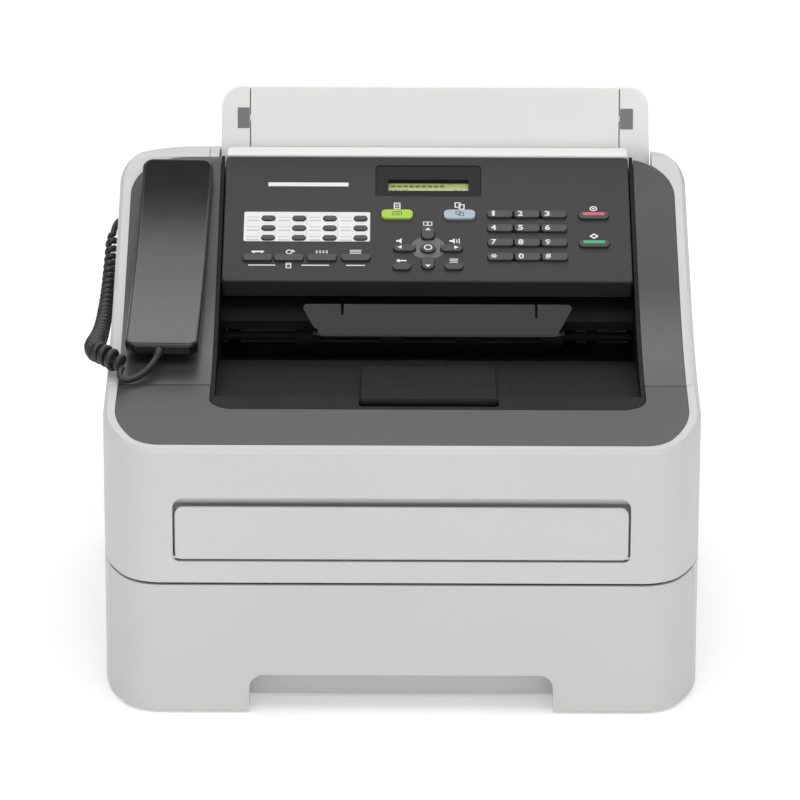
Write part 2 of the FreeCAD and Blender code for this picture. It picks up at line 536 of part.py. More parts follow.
bez = pill(0.5 * (BZ[0] + BZ[1]), 0.5 * (BZ[2] + BZ[3]), BZ[1] - BZ[0], BZ[3] - BZ[2], 3.0, -2.8, -0.5)
bez = fuse(bez, pill(0.5 * (BZ[0] + BZ[1]), 0.5 * (BZ[2] + BZ[3]), BZ[1] - BZ[0] + 3, BZ[3] - BZ[2] + 3, 4.0, -4.0, -2.4))
bez = bez.cut(box(LC[0], LC[1], LC[2], LC[3], -10, 5))
put("lcd_bezel", on_panel(bez))
put("lcd_display", on_panel(box(LC[0] - 4, LC[1] + 4, LC[2] - 4, LC[3] + 4, -8.0, -4.0)))

# ---------------------------------------------------------------- document support
FX0, FX1 = -100.9, 143.3
S_TOP = (300.0 - DS_Z) / math.cos(math.radians(DS_LEAN))
S_AX = (279.3 - DS_Z) / math.cos(math.radians(DS_LEAN))
DST = 4.0


def leaned(shape):
    out = shape.copy()
    out.rotate(V(0, 0, 0), V(1, 0, 0), -DS_LEAN)
    out.translate(V(0, DS_Y, DS_Z))
    return out


def ear(x0, x1, outer_left):
    xo = x0 + 1.2 if outer_left else x1 - 1.2
    e = prism_xz([(x0, 0), (x1, 0), (x1 if outer_left else xo, S_TOP), (xo if outer_left else x0, S_TOP)], 0, DST)
    e = smooth(e, 13.3, lambda q: along(q, V(0, 1, 0)) and abs(q.CenterOfMass.x - xo) < 1e-6 and q.CenterOfMass.z > 20)
    return smooth(e, 0.8, lambda q: abs(q.CenterOfMass.y) < 1e-6 and q.CenterOfMass.z > 20)


ears = fuse(ear(-120.8, FX0 - 0.6, True), ear(FX1 + 0.6, 163.8, False), box(-120.8, 163.8, 0, DST, 0, 8.0))
ears = ears.cut(box(-109.8, -101.0, -1, 0.45, S_AX - 7, S_AX + 7)).cut(box(143.4, 152.9, -1, 0.45, S_AX - 7, S_AX + 7))
ears = ears.cut(cylx(FX0 - 5.0, FX1 + 5.0, DST / 2, S_AX, 1.5))
support = leaned(ears)
ramp = prism_yz([(151.0, bn(120, -17.6)[1]), (151.0, 234.0), (166.0, 240.5), (168.5, 247.2), (163.4, 247.2)], LX0, LX1)
support = fuse(support, ramp)
put("document_support", support)
dsf = box(FX0, FX1, 0.3, DST - 0.3, 14.0, S_TOP)
dsf = smooth(dsf, 1.0, lambda q: along(q, V(1, 0, 0)) and q.CenterOfMass.z > 20)
dsf = fuse(dsf, cylx(FX0 - 4.4, FX1 + 4.4, DST / 2, S_AX, 1.2))
put("document_support_flap", leaned(dsf))

# ---------------------------------------------------------------- base frame
FRAME_L0, FRAME_L1 = WX0 - 3.2, WX0
FRAME_R0, FRAME_R1 = WX1, WX1 + 3.2
base = [
    outline(WALL + 1.5, 66.0, 69.0).common(box(-176.0, 176.0, -140.0, 174.0, 0, 100)),
    box(-128.6, -125.0, -140.0, 157.5, Z_BODY, 4.6),
    box(125.0, 128.6, -140.0, 157.5, Z_BODY, 4.6),
    box(-131.5, -128.5, -140.0, 160.0, Z_BODY, 66.0),
    box(128.5, 131.5, -140.0, 160.0, Z_BODY, 66.0),
    box(-131.5, 131.5, 157.0, 160.0, Z_BODY, 66.0),
]
flange = outline(WALL, Z_BODY, 5.0)
base.append(flange.common(box(-220, -128.5, -140.0, 220, 0, 10)))
base.append(flange.common(box(128.5, 220, -140.0, 220, 0, 10)))
base.append(flange.common(box(-131.5, 131.5, 157.0, 220, 0, 10)))
plates = fuse(
    box(FRAME_L0, FRAME_L1, -80.0, 148.0, 68.0, 300.0).common(under(-3.4)),
    box(FRAME_L0, FRAME_L1, -120.0, -80.0, 68.0, 150.0))
plates_r = fuse(
    box(FRAME_R0, FRAME_R1, -80.0, 148.0, 68.0, 300.0).common(under(-3.4)),
    box(FRAME_R0, FRAME_R1, -120.0, -80.0, 68.0, 150.0))
base += [plates, plates_r]
for s in (-1, 1):
    x0, x1 = (147.0, 151.4) if s > 0 else (-151.4, -147.0)
    base.append(box(x0, x1, -120.0, -95.0, 68.0, FC_Z + 3.6))
    base.append(box(x0, x1, FC_Y, -95.0, FC_Z - 3.6, FC_Z + 3.6))
    base.append(cylx(x0, x1, FC_Y, FC_Z, 3.6))
    pin = cylx(143.2, 148.0, FC_Y, FC_Z, 1.9) if s > 0 else cylx(-148.0, -143.2, FC_Y, FC_Z, 1.9)
    base.append(pin)
frame = fuse(*base)
PKY, PKZ = -108.0, 80.0
frame = frame.cut(box(-14.0, 48.0, -128.0, -88.0, 60.0, 75.0))
frame = frame.cut(cylx(FRAME_L0 - 2, FRAME_R1 + 2, PKY, PKZ, 3.5))
EXY, EXZ = 74.0, 160.0
frame = frame.cut(cylx(FRAME_L0 - 2, FRAME_R1 + 2, EXY, EXZ, 3.5))
frame = frame.cut(cylx(-130, 170, HGY, HGZ, 3.0))
put("base_frame", frame)
for nm in ("output_well",):
    PARTS[nm] = PARTS[nm].cut(cylx(-130, 170, EXY, EXZ, 3.5))

pick = fuse(cylx(FRAME_L0, FRAME_R1, PKY, PKZ, 3.0), cylx(-10.0, 44.0, PKY, PKZ, 15.0))
put("pickup_roller", pick)
ex = cylx(FRAME_L0, FRAME_R1, EXY, EXZ, 3.0)
ex = fuse(ex, *[cylx(x, x + 16, EXY, EXZ, 7.0) for x in (-70.0, -15.0, 35.0, 90.0)])
put("exit_roller", ex)

feet = [Part.makeCylinder(9.0, 2.0, V(x, y, 0)) for x in (-160.0, 160.0) for y in (-118.0, 140.0)]
put("rubber_feet", Part.makeCompound(feet))

# ---------------------------------------------------------------- print engine
scan = box(WX0, WX1, -24.0, 56.0, 116.0, 138.0).cut(box(WX0 - 1, WX0 + 14, -30, 60, 124, 140)).cut(box(WX1 - 14, WX1 + 1, -30, 60, 124, 140))
scan = fuse(scan, Part.makeCylinder(24.0, 4.0, V(16, 16, 138.0)))
put("laser_scanner_unit", scan)
drum = prism_yz([(-84, 78), (-84, 104), (-40, 110), (10, 108), (44, 98), (44, 80), (20, 74), (-60, 74)], -108.0, 140.0)
drum = fuse(drum, cylx(-104.0, 136.0, 44.0, 89.0, 12.0), cylx(WX0, WX1, -60.0, 92.0, 6.0))
put("drum_and_toner_unit", drum)
fz = prism_yz([(104, 82), (104, 118), (116, 130), (146, 130), (154, 120), (154, 82)], WX0, WX1)
fz = fz.cut(box(-100, 132, 96, 112, 94, 106))
fz = fuse(fz, cylx(-98.0, 130.0, 118.0, 110.0, 9.0), cylx(-98.0, 130.0, 118.0, 91.0, 9.0))
put("fuser_unit", fz)

boards = [fuse(box(-168.0, -166.4, -50.0, 118.0, 69.0, 158.0), box(-166.4, -158.0, -20.0, 10.0, 96.0, 126.0), box(-166.4, -154.0, 60.0, 92.0, 90.0, 118.0)),
          fuse(box(166.4, 168.0, -50.0, 118.0, 69.0, 150.0), Part.makeBox(22, 44, 34, V(144.4 + 12, 0, 92)).cut(box(150, 156.0, -10, 60, 80, 140)), cylx(158.0, 166.4, 84.0, 110.0, 11.0))]
put("circuit_boards", Part.makeCompound(boards))

# ---------------------------------------------------------------- paper tray
tray_out = outline(0, Z_BODY, SEAM_TRAY).common(box(-220, 220, -220, -146.2, -10, 330))
fascia = tray_out.cut(outline(3.3, Z_BODY + 3.0, 79.5).common(box(-220, 220, -220, -140, -10, 330)))
fascia = fascia.cut(outline(3.0, 82.5, 100))
HANDLE_X, HANDLE_Z, HANDLE_Y = 94.4, 25.6, -153.0
grip_out = box(-HANDLE_X - 2.6, HANDLE_X + 2.6, -178.5, HANDLE_Y + 2.6, Z_BODY, HANDLE_Z + 2.6)
grip_in = box(-HANDLE_X, HANDLE_X, -200, HANDLE_Y, -10, HANDLE_Z)
grip_in = smooth(grip_in, 9.0, lambda e: along(e, V(0, 1, 0)) and e.CenterOfMass.z > 10)
TX, TY1, TZ1 = 124.0, 152.0, 54.0
tub = box(-TX, TX, -150.4, TY1, 5.0, TZ1).cut(box(-TX + 2.5, TX - 2.5, -147.8, TY1 - 2.5, 8.0, 100))
tub = tub.cut(box(-60, 60, -152, -147, 40, 60))
link = box(-TX, TX, -178, -150.0, Z_BODY + 1, 8.0)
ribs = [box(x - 1.2, x + 1.2, -178.0, -148.0, 5.0, TZ1) for x in (-120.0, 120.0)]
tray = fuse(fascia, tub, link, grip_out, *ribs).cut(grip_in)
LPY, LPZ = 26.0, 11.0
for s in (-1, 1):
    x0, x1 = (110.4, 113.0) if s > 0 else (-113.0, -110.4)
    tray = fuse(tray, box(x0, x1, LPY - 4, LPY + 4, 7.0, LPZ), cylx(x0, x1, LPY, LPZ, 4.0))
tray = tray.cut(cylx(-113.5, 113.5, LPY, LPZ, 1.8))
put("paper_tray", tray)

lp = box(-107.0, 107.0, -140.0, LPY, LPZ - 0.8, LPZ + 0.8)
lp = fuse(lp, cylx(-107.0, 107.0, LPY, LPZ, 1.6), cylx(-112.6, 112.6, LPY, LPZ, 1.4))
lp = lp.cut(box(-22, 22, -141, -128, 0, 30))
put("tray_lift_plate", lp)

sg = fuse(box(-111.4, -108.4, 40.0, 112.0, 8.3, 46.0), box(-111.4, -84.0, 60.0, 92.0, 8.3, 10.3))
sg = fuse(sg, prism_xz([(-111.4, 46.0), (-119.0, 34.0), (-119.0, 30.0), (-111.4, 30.0)], 70.0, 84.0))
put("side_guide_left", sg)
sgr = fuse(box(108.4, 111.4, 40.0, 112.0, 8.3, 46.0), box(84.0, 111.4, 60.0, 92.0, 8.3, 10.3))
put("side_guide_right", sgr)

# ---------------------------------------------------------------- handset
cap_plan = rrect(HX - HS_HALF, HX + HS_HALF, HS_Y0, HS_Y1, 7.0, 7.0, 120, 330)
upper = cap_plan.common(arc_under(0)).cut(arc_under(-7.0))
upper = upper.removeSplitter()
rim_e = []
for e in upper.Edges:
    p = e.valueAt(0.5 * (e.FirstParameter + e.LastParameter))
    (ya, za), (ym, zm), (yb, zb) = HS_ARC
    if along(e, V(0, 0, 1)):
        continue
    u = (p.y - ya) / (yb - ya)
    chord = za + (zb - za) * u
    if p.z > chord - 6.9 and not along(e, V(0, 0, 1)):
        rim_e.append(e)
try:
    soft = upper.makeFillet(2.6, rim_e)
    if soft.isValid() and soft.Volume > 0.8 * upper.Volume:
        upper = soft
    else:
        print("handset fillet not valid")
except Exception as err:
    print("handset fillet", err)
upper = upper.cut(rrect(HX - HS_HALF + 4, HX + HS_HALF - 4, HS_Y0 + 4, HS_Y1 - 4, 4.0, 4.0, 120, 330).common(arc_under(-3.4)))
upper = turn(upper)
put("handset_upper_shell", upper)
LOW_H = 19.6
low_plan = rrect(HX - LOW_H, HX + LOW_H, -41.0, 130.0, 5.0, 5.0, 120, 330)
lower_h = low_plan.common(arc_under(-7.0)).cut(arc_under(-23.6))
lower_h = lower_h.cut(arc_under(-15.0).common(box(-200, -90, -10.0, 86.0, 100, 330)))
for yc in (-25.0, 108.0):
    for dx in (-6.0, 0.0, 6.0):
        for dy in (-6.0, 0.0, 6.0):
            lower_h = lower_h.cut(Part.makeCylinder(1.1, 200.0, V(HX + dx, yc + dy, 120)).common(arc_under(-21.4)))
put("handset_lower_shell", turn(lower_h))

# ---------------------------------------------------------------- handset cord
def tube(points, d, label):
    pts = [V(*p) for p in points]
    n = len(pts)
    edges, at, radii = [], pts[0], []
    for k in range(1, n - 1):
        a, b, c = pts[k - 1], pts[k], pts[k + 1]
        u, v = (a - b), (c - b)
        lu, lv = u.Length, v.Length
        u.normalize()
        v.normalize()
        half = 0.5 * math.acos(max(-1, min(1, u.dot(v))))
        t = 0.45 * min(lu, lv)
        r = t * math.tan(half)
        radii.append(round(r, 1))
        p0, p1 = b + u * t, b + v * t
        mid = (u + v)
        mid.normalize()
        centre = b + mid * (r / math.sin(half))
        m = centre - mid * r
        if (p0 - at).Length > 1e-6:
            edges.append(Part.LineSegment(at, p0).toShape())
        edges.append(Part.Arc(p0, m, p1).toShape())
        at = p1
    edges.append(Part.LineSegment(at, pts[-1]).toShape())
    wire = Part.Wire(edges)
    d0 = pts[1] - pts[0]
    d0.normalize()
    prof = Part.Wire(Part.Circle(pts[0], d0, d / 2).toShape())
    s = wire.makePipeShell([prof], True, False)
    vol = math.pi * d * d / 4 * wire.Length
    print(label, "length %.1f" % wire.Length, "radii", radii, "volume ratio %.4f" % (s.Volume / vol), s.isValid())
    return s


COIL = [(-175.5, -76.0, 191.0), (-185.5, -65.5, 196.0), (-194.6, -46.0, 194.6), (-192.6, -5.0, 189.4), (-192.4, 45.0, 191.0), (-192.3, 85.0, 201.6), (-191.9, 101.0, 211.2)]
TAIL = [(-191.9, 101.0, 211.2), (-191.0, 108.0, 215.8), (-186.5, 115.5, 220.6), (-180.4, 122.0, 223.0), (-179.8, 129.0, 223.5)]
LEADP = [(-153.4, -58.3, 195.2), (-156.0, -66.5, 191.2), (-163.0, -76.5, 186.6), (-171.5, -83.0, 184.6), (-177.6, -82.4, 186.0), (-177.2, -77.4, 190.2)]
coil = tube(COIL, COIL_D, "coil")
put("handset_cord_coil", coil)
lead = tube(LEADP, CORD_D, "lead")
tail = tube(TAIL, CORD_D, "tail")
plug = box(-183.2, -176.4, 129.0, JY1, 220.2, 226.8)
put("handset_cord_leads", Part.makeCompound([lead.cut(coil), fuse(tail.cut(coil), plug)]))

for f in os.listdir("parts"):
    if f.endswith(".step") and f[:-5] not in PARTS:
        os.remove(os.path.join("parts", f))
total = None
for name, shape in sorted(PARTS.items()):
    shape.exportStep("parts/" + name + ".step")
    b = shape.BoundBox
    print("%-24s solids %2d  vol %9.0f  x %7.1f %7.1f  y %7.1f %7.1f  z %7.1f %7.1f %s" % (
        name, len(shape.Solids), shape.Volume, b.XMin, b.XMax, b.YMin, b.YMax, b.ZMin, b.ZMax, "" if shape.isValid() else "INVALID"))
print(len(PARTS), "nodes; panel hinge", HGY, HGZ, "doc flap axis", S_AX)
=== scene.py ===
import math
import bpy
import bmesh
from mathutils import Vector, Matrix


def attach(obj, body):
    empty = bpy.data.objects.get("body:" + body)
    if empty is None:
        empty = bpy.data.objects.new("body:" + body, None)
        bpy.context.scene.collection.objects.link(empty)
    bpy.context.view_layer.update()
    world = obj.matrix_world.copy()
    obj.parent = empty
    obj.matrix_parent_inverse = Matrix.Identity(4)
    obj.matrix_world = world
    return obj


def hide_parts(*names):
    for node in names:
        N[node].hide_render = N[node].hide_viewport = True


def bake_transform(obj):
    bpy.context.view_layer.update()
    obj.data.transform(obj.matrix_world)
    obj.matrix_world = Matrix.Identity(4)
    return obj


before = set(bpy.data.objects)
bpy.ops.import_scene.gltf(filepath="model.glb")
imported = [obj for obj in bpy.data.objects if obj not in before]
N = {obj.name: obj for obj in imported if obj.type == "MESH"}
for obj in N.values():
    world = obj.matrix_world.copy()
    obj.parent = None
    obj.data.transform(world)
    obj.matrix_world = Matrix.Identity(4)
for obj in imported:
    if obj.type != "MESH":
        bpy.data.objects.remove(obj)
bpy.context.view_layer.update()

# ------------------------------------------------------------------ helpers
MM = 0.001
TILT = math.radians(22.0)
CT, ST = math.cos(TILT), math.sin(TILT)


def lin(r, g, b):
    """Screen colour, 0 to 255, as linear light."""
    def one(v):
        v /= 255.0
        return v / 12.92 if v <= 0.04045 else ((v + 0.055) / 1.055) ** 2.4
    return (one(r), one(g), one(b))


def on_panel(a, b, n):
    """A point of the control panel's face, in mm across, up the slope and off it, in metres."""
    return Vector((a, 33.0 + b * CT - n * ST, 211.9 + b * ST + n * CT)) * MM


def new_obj(name, mesh, body, mat=None):
    o = bpy.data.objects.new(name, mesh)
    bpy.context.scene.collection.objects.link(o)
    if mat is not None:
        mesh.materials.append(mat)
    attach(o, body)
    return o


# ---------------------------------------------------------------- materials
def _node(nt, kind, **sockets):
    n = nt.nodes.new(kind)
    for k, v in sockets.items():
        n.inputs[k].default_value = v
    return n


def _noise(nt, vec, scale, detail=3.0, rough=0.55):
    n = nt.nodes.new("ShaderNodeTexNoise")
    n.inputs["Scale"].default_value = scale
    n.inputs["Detail"].default_value = detail
    n.inputs["Roughness"].default_value = rough
    nt.links.new(vec, n.inputs["Vector"])
    return n


def _range(nt, fac, lo, hi, f0=0.3, f1=0.7):
    n = nt.nodes.new("ShaderNodeMapRange")
    n.inputs["From Min"].default_value = f0
    n.inputs["From Max"].default_value = f1
    n.inputs["To Min"].default_value = lo
    n.inputs["To Max"].default_value = hi
    nt.links.new(fac, n.inputs["Value"])
    return n.outputs["Result"]


def plastic(name, rgb, rough=0.45, rough_spread=0.06, spread=0.035, mottle=9.0,
            grain=1500.0, bump=0.06, grain_detail=2.0, speck=0.0, spec=0.5,
            metal=0.0, coat=0.0, coat_rough=0.2, depth=0.00025):
    """Moulded plastic: slow tone drift, mould texture as fine bump, gloss that drifts with handling."""
    m = bpy.data.materials.new(name)
    m.use_nodes = True
    nt = m.node_tree
    p = nt.nodes["Principled BSDF"]
    tc = nt.nodes.new("ShaderNodeTexCoord")
    vec = tc.outputs["Object"]
    slow = _noise(nt, vec, mottle, 4.0)
    ramp = nt.nodes.new("ShaderNodeValToRGB")
    e = ramp.color_ramp.elements
    e[0].position, e[1].position = 0.32, 0.68
    e[0].color = tuple(c * (1 - spread) for c in rgb) + (1,)
    e[1].color = tuple(min(1.0, c * (1 + spread)) for c in rgb) + (1,)
    nt.links.new(slow.outputs["Fac"], ramp.inputs["Fac"])
    col = ramp.outputs["Color"]
    fine = _noise(nt, vec, grain, grain_detail)
    if speck > 0:
        mix = nt.nodes.new("ShaderNodeMix")
        mix.data_type = "RGBA"
        mix.blend_type = "MULTIPLY"
        nt.links.new(_range(nt, fine.outputs["Fac"], 0.0, 1.0, 0.35, 0.65), mix.inputs["Factor"])
        nt.links.new(col, mix.inputs["A"])
        mix.inputs["B"].default_value = (1 - speck, 1 - speck, 1 - speck, 1)
        col = mix.outputs["Result"]
    nt.links.new(col, p.inputs["Base Color"])
    mid = _noise(nt, vec, mottle * 6.5, 3.0)
    nt.links.new(_range(nt, mid.outputs["Fac"], rough - rough_spread, rough + rough_spread), p.inputs["Roughness"])
    b = nt.nodes.new("ShaderNodeBump")
    b.inputs["Strength"].default_value = bump
    b.inputs["Distance"].default_value = depth
    nt.links.new(fine.outputs["Fac"], b.inputs["Height"])
    nt.links.new(b.outputs["Normal"], p.inputs["Normal"])
    p.inputs["Specular IOR Level"].default_value = spec
    p.inputs["Metallic"].default_value = metal
    p.inputs["Coat Weight"].default_value = coat
    p.inputs["Coat Roughness"].default_value = coat_rough
    return m


def brushed(name, rgb, rough=0.34):
    """Sheet steel, brushed along its length."""
    m = bpy.data.materials.new(name)
    m.use_nodes = True
    nt = m.node_tree
    p = nt.nodes["Principled BSDF"]
    tc = nt.nodes.new("ShaderNodeTexCoord")
    mp = nt.nodes.new("ShaderNodeMapping")
    mp.inputs["Scale"].default_value = (12.0, 900.0, 900.0)
    nt.links.new(tc.outputs["Object"], mp.inputs["Vector"])
    streak = _noise(nt, mp.outputs["Vector"], 1.0, 4.0)
    ramp = nt.nodes.new("ShaderNodeValToRGB")
    e = ramp.color_ramp.elements
    e[0].position, e[1].position = 0.3, 0.7
    e[0].color = tuple(c * 0.82 for c in rgb) + (1,)
    e[1].color = tuple(min(1, c * 1.1) for c in rgb) + (1,)
    nt.links.new(streak.outputs["Fac"], ramp.inputs["Fac"])
    nt.links.new(ramp.outputs["Color"], p.inputs["Base Color"])
    nt.links.new(_range(nt, streak.outputs["Fac"], rough - 0.08, rough + 0.1), p.inputs["Roughness"])
    b = nt.nodes.new("ShaderNodeBump")
    b.inputs["Strength"].default_value = 0.08
    b.inputs["Distance"].default_value = 0.0001
    nt.links.new(streak.outputs["Fac"], b.inputs["Height"])
    nt.links.new(b.outputs["Normal"], p.inputs["Normal"])
    p.inputs["Metallic"].default_value = 1.0
    return m


M = {
    "cover_white": plastic("cover_white", lin(207, 207, 206), 0.46, 0.04, spread=0.012, grain=1300, bump=0.05),
    "tray_white": plastic("tray_white", lin(204, 204, 203), 0.47, 0.04, spread=0.012, grain=1300, bump=0.05),
    "top_grey": plastic("top_grey", lin(61, 61, 62), 0.34, 0.02, spread=0.025, grain=1700, bump=0.10, speck=0.10),
    "panel_grey": plastic("panel_grey", lin(58, 58, 59), 0.42, 0.02, spread=0.025, grain=1700, bump=0.10, speck=0.10, spec=0.2),
    "well_black": plastic("well_black", lin(13, 13, 14), 0.62, 0.03, spread=0.05, grain=1500, bump=0.14, speck=0.12, spec=0.2),
    "handset_dark": plastic("handset_dark", lin(24, 24, 25), 0.18, 0.02, spread=0.04, grain=1900, bump=0.05, speck=0.06),
    "support_white": plastic("support_white", lin(242, 242, 241), 0.45, 0.04, spread=0.012, grain=1300, bump=0.05),
    "frame_grey": plastic("frame_grey", lin(96, 96, 98), 0.5, spread=0.06, grain=900, bump=0.12),
    "engine_black": plastic("engine_black", lin(40, 40, 42), 0.5, spread=0.08, grain=900, bump=0.14),
    "steel": brushed("steel", (0.62, 0.62, 0.63)),
    "rubber": plastic("rubber", lin(34, 34, 35), 0.72, 0.08, spread=0.14, grain=2200, bump=0.22, speck=0.15),
    "board_green": plastic("board_green", lin(26, 92, 58), 0.32, 0.08, spread=0.16, mottle=60, grain=500, bump=0.2),
    "sensor_glass": plastic("sensor_glass", lin(30, 30, 33), 0.08, 0.03, spread=0.10, grain=300, bump=0.01, coat=0.6, coat_rough=0.05),
    "key_black": plastic("key_black", lin(60, 60, 61), 0.40, 0.06, spread=0.08, grain=2200, bump=0.07),
    "key_lime": plastic("key_lime", lin(168, 205, 62), 0.38, 0.05, spread=0.05, mottle=90, grain=2200, bump=0.05),
    "key_blue": plastic("key_blue", lin(168, 182, 196), 0.38, 0.05, spread=0.04, mottle=90, grain=2200, bump=0.05),
    "bezel_black": plastic("bezel_black", lin(26, 26, 28), 0.26, 0.04, spread=0.08, grain=700, bump=0.015, spec=0.14),
    "lcd_green": plastic("lcd_green", lin(186, 196, 128), 0.30, 0.05, spread=0.05, mottle=120, grain=2500, bump=0.02, coat=0.3, coat_rough=0.1),
    "cord_dark": plastic("cord_dark", lin(42, 42, 44), 0.40, 0.06, spread=0.10, mottle=60, grain=1500, bump=0.08),
    "print_white": plastic("print_white", lin(236, 236, 234), 0.55, 0.05, spread=0.03, mottle=120, grain=2500, bump=0.04),
    "print_grey": plastic("print_grey", lin(176, 176, 176), 0.55, 0.05, spread=0.05, mottle=120, grain=2500, bump=0.04),
    "label_white": plastic("label_white", lin(232, 232, 230), 0.42, 0.06, spread=0.03, mottle=80, grain=2500, bump=0.03),
    "label_grey": plastic("label_grey", lin(186, 186, 186), 0.5, 0.05, spread=0.05, mottle=120, grain=2500, bump=0.03),
    "bar_red": plastic("bar_red", lin(216, 84, 112), 0.45, 0.05, spread=0.05, mottle=120, grain=2500, bump=0.04),
    "bar_green": plastic("bar_green", lin(52, 172, 126), 0.45, 0.05, spread=0.05, mottle=120, grain=2500, bump=0.04),
    "disc_grey": plastic("disc_grey", lin(96, 96, 98), 0.42, 0.05, spread=0.06, mottle=60, grain=1700, bump=0.08, speck=0.08),
    "ear_grey": plastic("ear_grey", lin(122, 122, 124), 0.45, 0.05, spread=0.05, mottle=60, grain=1500, bump=0.06),
    "lcd_ink": plastic("lcd_ink", lin(112, 120, 74), 0.45, 0.05, spread=0.08, mottle=200, grain=2500, bump=0.03),
    # icon_dark also colours the painted shade strips inside the document support's slots
    "icon_dark": plastic("icon_dark", lin(62, 74, 58), 0.5, 0.05, spread=0.08, mottle=200, grain=2500, bump=0.03),
}

for name, o in N.items():
    if not o.data.materials:
        continue
    for i, old in enumerate(list(o.data.materials)):
        key = old.name.split(".")[0] if old else ""
        if key in M and M[key] is not old:
            o.material_slots[i].material = M[key]

# ------------------------------------------------------------------- camera
cam_data = bpy.data.cameras.new("view_camera")
cam_data.sensor_width = 36.0
cam_data.sensor_fit = "HORIZONTAL"
cam_data.lens = 5620.0 / 800.0 * 36.0
cam_data.clip_start, cam_data.clip_end = 0.1, 60.0
cam = bpy.data.objects.new("view_camera", cam_data)
bpy.context.scene.collection.objects.link(cam)
cam.matrix_world = (Matrix.Translation(Vector((-1.3, -3401.3, 1380.2)) * MM)
                    @ Matrix.Rotation(math.radians(70.0), 4, "X")
                    @ Matrix.Rotation(math.radians(0.2), 4, "Z"))
bpy.context.scene.camera = cam

# ------------------------------------------------------------ floor, lights
floor_mesh = bpy.data.meshes.new("floor")
s = 14.0
floor_mesh.from_pydata([(-s, -s, 0), (s, -s, 0), (s, s, 0), (-s, s, 0)], [], [(0, 1, 2, 3)])
floor = bpy.data.objects.new("floor", floor_mesh)
bpy.context.scene.collection.objects.link(floor)
fm = bpy.data.materials.new("floor_pale")
fm.use_nodes = True
fnt = fm.node_tree
fp = fnt.nodes["Principled BSDF"]
ftc = fnt.nodes.new("ShaderNodeTexCoord")
fno = _noise(fnt, ftc.outputs["Object"], 3.0, 3.0)
fr = fnt.nodes.new("ShaderNodeValToRGB")
fr.color_ramp.elements[0].color = (0.93, 0.93, 0.93, 1)
fr.color_ramp.elements[1].color = (0.96, 0.96, 0.96, 1)
fnt.links.new(fno.outputs["Fac"], fr.inputs["Fac"])
fnt.links.new(fr.outputs["Color"], fp.inputs["Base Color"])
fp.inputs["Roughness"].default_value = 0.85
fp.inputs["Specular IOR Level"].default_value = 0.1
fp.inputs["Emission Color"].default_value = (1, 1, 1, 1)
fp.inputs["Emission Strength"].default_value = 0.22
floor_mesh.materials.append(fm)

world = bpy.data.worlds.new("studio")
bpy.context.scene.world = world
world.use_nodes = True
wnt = world.node_tree
bg = wnt.nodes["Background"]
wtc = wnt.nodes.new("ShaderNodeTexCoord")
wsep = wnt.nodes.new("ShaderNodeSeparateXYZ")
wnt.links.new(wtc.outputs["Generated"], wsep.inputs["Vector"])
wr = wnt.nodes.new("ShaderNodeValToRGB")
we = wr.color_ramp.elements
we[0].position, we[0].color = 0.0, (0.90, 0.90, 0.90, 1)
we[1].position, we[1].color = 1.0, (0.30, 0.30, 0.31, 1)
k = we.new(0.87); k.color = (0.86, 0.86, 0.86, 1)
k = we.new(0.91); k.color = (0.34, 0.34, 0.35, 1)
wnt.links.new(wsep.outputs["Z"], wr.inputs["Fac"])
wx2 = wnt.nodes.new("ShaderNodeMath")
wx2.operation = "MULTIPLY"
wnt.links.new(wsep.outputs["X"], wx2.inputs[0])
wnt.links.new(wsep.outputs["X"], wx2.inputs[1])
wside = wnt.nodes.new("ShaderNodeMapRange")
wside.inputs["To Min"].default_value = 1.0
wside.inputs["To Max"].default_value = 0.2
wnt.links.new(wx2.outputs["Value"], wside.inputs["Value"])
wmul = wnt.nodes.new("ShaderNodeVectorMath")
wmul.operation = "SCALE"
wnt.links.new(wr.outputs["Color"], wmul.inputs["Vector"])
wnt.links.new(wside.outputs["Result"], wmul.inputs["Scale"])
wnt.links.new(wmul.outputs["Vector"], bg.inputs["Color"])
bg.inputs["Strength"].default_value = 0.78


def area(name, loc, target, size, power, size_y=None):
    d = bpy.data.lights.new(name, "AREA")
    d.energy = power
    d.size = size
    if size_y:
        d.shape = "RECTANGLE"
        d.size_y = size_y
    o = bpy.data.objects.new(name, d)
    bpy.context.scene.collection.objects.link(o)
    o.location = loc
    o.rotation_euler = (Vector(target) - Vector(loc)).to_track_quat("-Z", "Y").to_euler()
    return o


area("overhead", (0.0, -0.7, 2.4), (0, 0, 0.1), 2.6, 29.0, 1.6)
area("front_fill", (0.2, -3.2, 1.3), (0, 0, 0.1), 1.6, 10.0, 1.0)
area("back_softbox", (0.0, 1.92, 2.37), (0, 0, 0.2), 3.0, 20.0, 1.28)

# ------------------------------------------------------------ handset cord
LEAD = [(-153.4, -58.3, 195.2), (-156, -66.5, 191.2), (-163, -76.5, 186.6), (-171.5, -83, 184.6), (-177.6, -82.4, 186), (-177.2, -77.4, 190.2), (-175.5, -76, 191.4)]
COIL = [(-175.5, -76, 191.4), (-186, -66, 195.4), (-196.4, -50, 193.4), (-192.8, -8, 189), (-191.6, 45, 191.6), (-191.2, 85, 203), (-190.8, 101, 213)]
TAIL = [(-190.8, 101, 213), (-190.4, 109.5, 219), (-188, 117, 224.4), (-181.6, 122.6, 224.6), (-179.8, 129, 223.5)]
WIRE_D = 0.0042
PITCH = 0.0066


def coil_radius(u):
    """Radius of the curls along the coil: loose at the handset end, drawn out toward the socket."""
    keys = ((0.0, 5.0), (0.24, 4.6), (0.42, 3.4), (0.75, 2.7), (1.0, 2.2))
    for (u0, r0), (u1, r1) in zip(keys, keys[1:]):
        if u <= u1:
            return (r0 + (r1 - r0) * (u - u0) / (u1 - u0)) * MM
    return keys[-1][1] * MM


